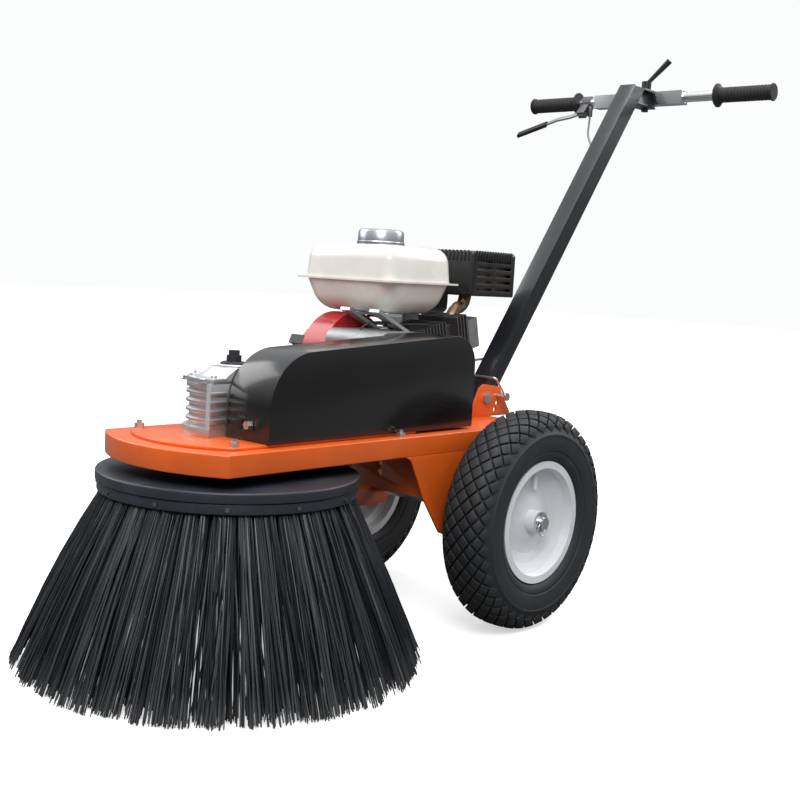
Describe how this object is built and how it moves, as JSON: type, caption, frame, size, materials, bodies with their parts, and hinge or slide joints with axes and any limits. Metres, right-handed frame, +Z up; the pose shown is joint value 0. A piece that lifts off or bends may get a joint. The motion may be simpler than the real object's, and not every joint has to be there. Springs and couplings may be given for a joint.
{
  "type": "walk behind sweeper",
  "caption": "Two-wheeled walk-behind power sweeper with a horizontal rotary brush, belt and worm drive, small engine and a leaning handle column.",
  "frame": {"origin": "on the ground, under the middle of the machine's overall length and width", "axes": "+Z up, -Y to the front where the brush is, +X to the operator's left"},
  "size_m": [0.66, 1.5689, 1.157],
  "materials": {
    "orange": "gloss",
    "black_paint": "gloss",
    "column_paint": "satin",
    "cast": "cast",
    "cast_dark": "cast",
    "steel": "satin",
    "zinc": "zinc plated",
    "chrome": "polished",
    "iron": "machined",
    "tyre": "matt",
    "rim_white": "gloss",
    "rubber": "matt",
    "black_plastic": "matt",
    "bristle": "matt",
    "tank_white": "gloss",
    "red": "gloss",
    "nylon": "matt",
    "cable": "satin"
  },
  "bodies": {
    "chassis": {"air_cleaner": "black_plastic", "axle": "steel", "axle_fittings": "zinc", "belt_cover": "black_paint", "cable_lower": "cable", "carburettor": "cast", "crankcase": "cast", "cylinder": "cast_dark", "deck_bolts": "zinc", "deck_tray": "orange", "drive_belt": "rubber", "fan_cover": "red", "fuel_tank": "tank_white", "gearbox_breather": "iron", "gearbox_cover": "cast", "gearbox_housing": "cast", "gearbox_plate": "orange", "gearbox_seal": "rubber", "handle_bracket": "orange", "idler_bracket": "steel", "leg_frame": "orange", "muffler": "steel", "muffler_guard": "black_paint", "pivot_bolt": "zinc", "recoil_housing": "red", "tank_bracket": "cast", "valve_cover": "cast"},
    "left_wheel": {"left_tyre": "tyre", "left_rim": "rim_white", "left_bush": "nylon"},
    "right_wheel": {"right_tyre": "tyre", "right_rim": "rim_white", "right_bush": "nylon"},
    "brush": {"output_shaft": "steel", "drive_flange": "iron", "brush_ring": "black_plastic", "brush_plate": "black_plastic", "bristles": "bristle"},
    "input": {"worm_shaft": "steel", "gearbox_pulley": "iron"},
    "crank": {"crankshaft": "steel", "engine_pulley": "iron"},
    "idler": {"idler_arm": "steel"},
    "idler_wheel": {"idler_pulley": "steel"},
    "starter": {"starter_handle": "black_plastic"},
    "fuel_lid": {"fuel_cap": "chrome"},
    "throttle": {"throttle_lever": "black_plastic"},
    "handle": {"column": "column_paint", "bar_bracket": "black_paint", "cable_upper": "cable"},
    "clamp": {"clamp_lever": "black_plastic"},
    "bars": {"bar_sleeve": "chrome", "handlebar": "chrome", "left_grip": "rubber", "right_grip": "rubber", "lever_clamp": "cast"},
    "lever": {"clutch_lever": "cast", "lever_tip": "rubber"},
    "lock": {"lock_pin": "zinc", "lock_bail": "zinc"}
  },
  "joints": [
    {"name": "left_wheel_spin", "type": "hinge", "parent": "chassis", "child": "left_wheel", "pos_m": [0.217, 0.068, 0.2], "axis": [1, 0, 0], "continuous": true},
    {"name": "right_wheel_spin", "type": "hinge", "parent": "chassis", "child": "right_wheel", "pos_m": [-0.217, 0.068, 0.2], "axis": [1, 0, 0], "continuous": true},
    {"name": "brush_spin", "type": "hinge", "parent": "chassis", "child": "brush", "pos_m": [0, -0.455, 0.3], "axis": [0, 0, 1], "continuous": true},
    {"name": "input_spin", "type": "hinge", "parent": "chassis", "child": "input", "pos_m": [0, -0.415, 0.415], "axis": [1, 0, 0], "continuous": true},
    {"name": "crank_spin", "type": "hinge", "parent": "chassis", "child": "crank", "pos_m": [0, -0.049, 0.466], "axis": [1, 0, 0], "continuous": true},
    {"name": "idler_swing", "type": "hinge", "parent": "chassis", "child": "idler", "pos_m": [0.07, -0.108, 0.388], "axis": [1, 0, 0], "range_deg": [-5.4, 0]},
    {"name": "idler_spin", "type": "hinge", "parent": "idler", "child": "idler_wheel", "pos_m": [0.082, -0.17, 0.388], "axis": [1, 0, 0], "continuous": true},
    {"name": "starter_pull", "type": "slide", "parent": "chassis", "child": "starter", "axis": [0, -0.9063, 0.4226], "range_m": [0, 0.5], "stiffness_N_per_m": 20, "springref_m": -0.3},
    {"name": "fuel_cap_turn", "type": "hinge", "parent": "chassis", "child": "fuel_lid", "pos_m": [-0.12, 0.008, 0.7], "axis": [0, 0, 1], "range_deg": [0, 90]},
    {"name": "throttle_swing", "type": "hinge", "parent": "chassis", "child": "throttle", "pos_m": [-0.18, 0.104, 0.53], "axis": [0, 0, 1], "range_deg": [-20, 20]},
    {"name": "handle_tilt", "type": "hinge", "parent": "chassis", "child": "handle", "pos_m": [0, 0.183, 0.396], "axis": [1, 0, 0], "range_deg": [0, 4]},
    {"name": "clamp_turn", "type": "hinge", "parent": "handle", "child": "clamp", "pos_m": [0, 0.758, 1.09], "axis": [0, 0, 1], "range_deg": [0, 120]},
    {"name": "bar_swivel", "type": "hinge", "parent": "handle", "child": "bars", "pos_m": [0, 0.758, 1.065], "axis": [0, 0, 1], "range_deg": [-30, 30]},
    {"name": "clutch_squeeze", "type": "hinge", "parent": "bars", "child": "lever", "pos_m": [-0.155, 0.73605, 1.03903], "axis": [0, -0.7638, 0.6455], "range_deg": [-18, 0], "stiffness_Nm_per_rad": 1, "springref_deg": 17.19},
    {"name": "lock_swing", "type": "hinge", "parent": "chassis", "child": "lock", "pos_m": [0, 0.22445, 0.39912], "axis": [1, 0, 0], "range_deg": [0, 14]}
  ],
  "couplings": [
    {"joint": "input_spin", "follows": "crank_spin", "ratio": 0.439},
    {"joint": "brush_spin", "follows": "crank_spin", "ratio": 0.0439},
    {"joint": "idler_swing", "follows": "clutch_squeeze", "ratio": 0.28}
  ]
}
